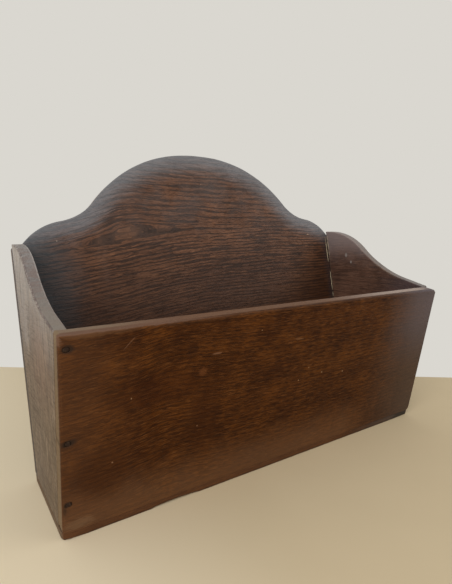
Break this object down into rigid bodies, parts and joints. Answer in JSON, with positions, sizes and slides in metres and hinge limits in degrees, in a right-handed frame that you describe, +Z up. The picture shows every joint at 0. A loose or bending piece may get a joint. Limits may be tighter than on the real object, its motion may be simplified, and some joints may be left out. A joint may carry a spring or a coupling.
{
  "type": "desk letter box",
  "caption": "Open-topped wooden box for letters and papers, with leaning front and back boards, swept side boards and an arched back.",
  "frame": {"origin": "centre of the underside, on the surface that the box stands on", "axes": "+X along the box's length to the viewer's right, +Y from the front board to the back board, +Z up"},
  "size_m": [0.33, 0.1554, 0.249],
  "materials": {
    "back_oak": "dark stained oak, waxed, with a low sheen",
    "side_oak": "dark stained oak, waxed, worn pale along its edges",
    "front_oak": "dark stained oak, waxed, warmer in the middle",
    "bottom_oak": "dark stained oak, dry underneath",
    "nail_iron": "old dark iron, dull"
  },
  "bodies": {
    "root": {"back_board": "back_oak", "left_side": "side_oak", "right_side": "side_oak", "front_board": "front_oak", "bottom_board": "bottom_oak", "front_left_nails": "nail_iron", "front_right_nails": "nail_iron", "back_left_nails": "nail_iron", "back_right_nails": "nail_iron", "bottom_front_nails": "nail_iron", "bottom_back_nails": "nail_iron", "bottom_left_nails": "nail_iron", "bottom_right_nails": "nail_iron"}
  },
  "joints": []
}
